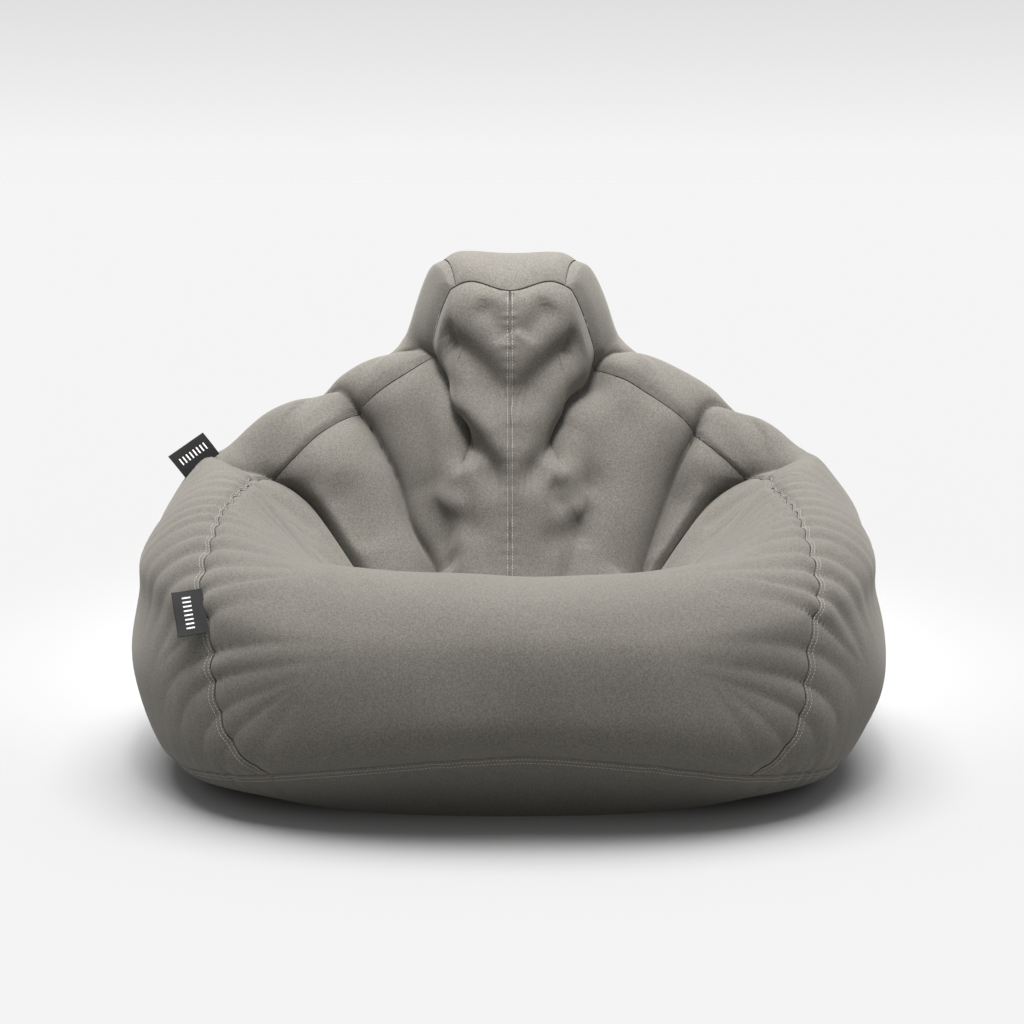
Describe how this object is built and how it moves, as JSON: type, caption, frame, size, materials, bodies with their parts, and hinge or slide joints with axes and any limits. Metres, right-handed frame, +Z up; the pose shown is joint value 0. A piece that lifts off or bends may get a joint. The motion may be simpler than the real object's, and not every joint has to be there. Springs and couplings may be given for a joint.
{
  "type": "bean bag chair",
  "caption": "Low lounge bean bag chair with a deep seat pit, rolled arms, a fanned back and a small raised headrest, in a sewn fabric cover with a rear zip.",
  "frame": {"origin": "centre of the overall box on the floor", "axes": "+Z up; -Y is the front, where the sitter's legs go; +X is on the right of someone facing the seat"},
  "size_m": [0.9816, 0.9034, 0.6513],
  "materials": {
    "cover_fabric": "heathered taupe woven upholstery fabric, matt",
    "label_weave": "black woven label",
    "liner_fabric": "plain white lining cloth",
    "beads": "loose white expanded polystyrene beads",
    "zip_tape": "taupe woven zip tape",
    "zip_coil": "taupe nylon coil",
    "zip_metal": "dark enamelled zip metal"
  },
  "bodies": {
    "bag": {"cover_base_panel": "cover_fabric", "cover_front_panel": "cover_fabric", "cover_side_panel_left": "cover_fabric", "cover_side_panel_right": "cover_fabric", "cover_backrest_panel_left": "cover_fabric", "cover_backrest_panel_right": "cover_fabric", "cover_rear_panel_left": "cover_fabric", "cover_rear_panel_right": "cover_fabric", "cover_top_cap": "cover_fabric", "liner_front_panel_left": "liner_fabric", "liner_front_panel_right": "liner_fabric", "liner_rear_panel": "liner_fabric", "liner_base_panel": "liner_fabric", "bead_fill": "beads", "rear_zip_tape_left": "zip_tape", "rear_zip_tape_right": "zip_tape", "rear_zip_coil_left": "zip_coil", "rear_zip_coil_right": "zip_coil", "rear_zip_lower_stop": "zip_metal", "rear_zip_upper_stop": "zip_metal"},
    "zip_slider": {"rear_zip_slider": "zip_metal"},
    "zip_pull": {"rear_zip_pull": "zip_metal"},
    "side_label_flap": {"side_label": "label_weave"},
    "shoulder_label_flap": {"shoulder_label": "label_weave"}
  },
  "joints": [
    {"name": "zip_slide", "type": "slide", "parent": "bag", "child": "zip_slider", "axis": [0, -0.3684, 0.9297], "range_m": [0, 0.288]},
    {"name": "zip_pull_hinge", "type": "hinge", "parent": "zip_slider", "child": "zip_pull", "pos_m": [0, 0.4242, 0.23531], "axis": [1, 0, 0], "range_deg": [0, 150]},
    {"name": "side_label_hinge", "type": "hinge", "parent": "bag", "child": "side_label_flap", "pos_m": [-0.36646, -0.30649, 0.24788], "axis": [-0.2068, 0.6576, 0.7244], "range_deg": [-20, 45], "stiffness_Nm_per_rad": 0.002},
    {"name": "shoulder_label_hinge", "type": "hinge", "parent": "bag", "child": "shoulder_label_flap", "pos_m": [-0.42054, 0.10225, 0.36874], "axis": [0.6844, 0.5696, 0.4551], "range_deg": [-35, 35], "stiffness_Nm_per_rad": 0.002}
  ]
}
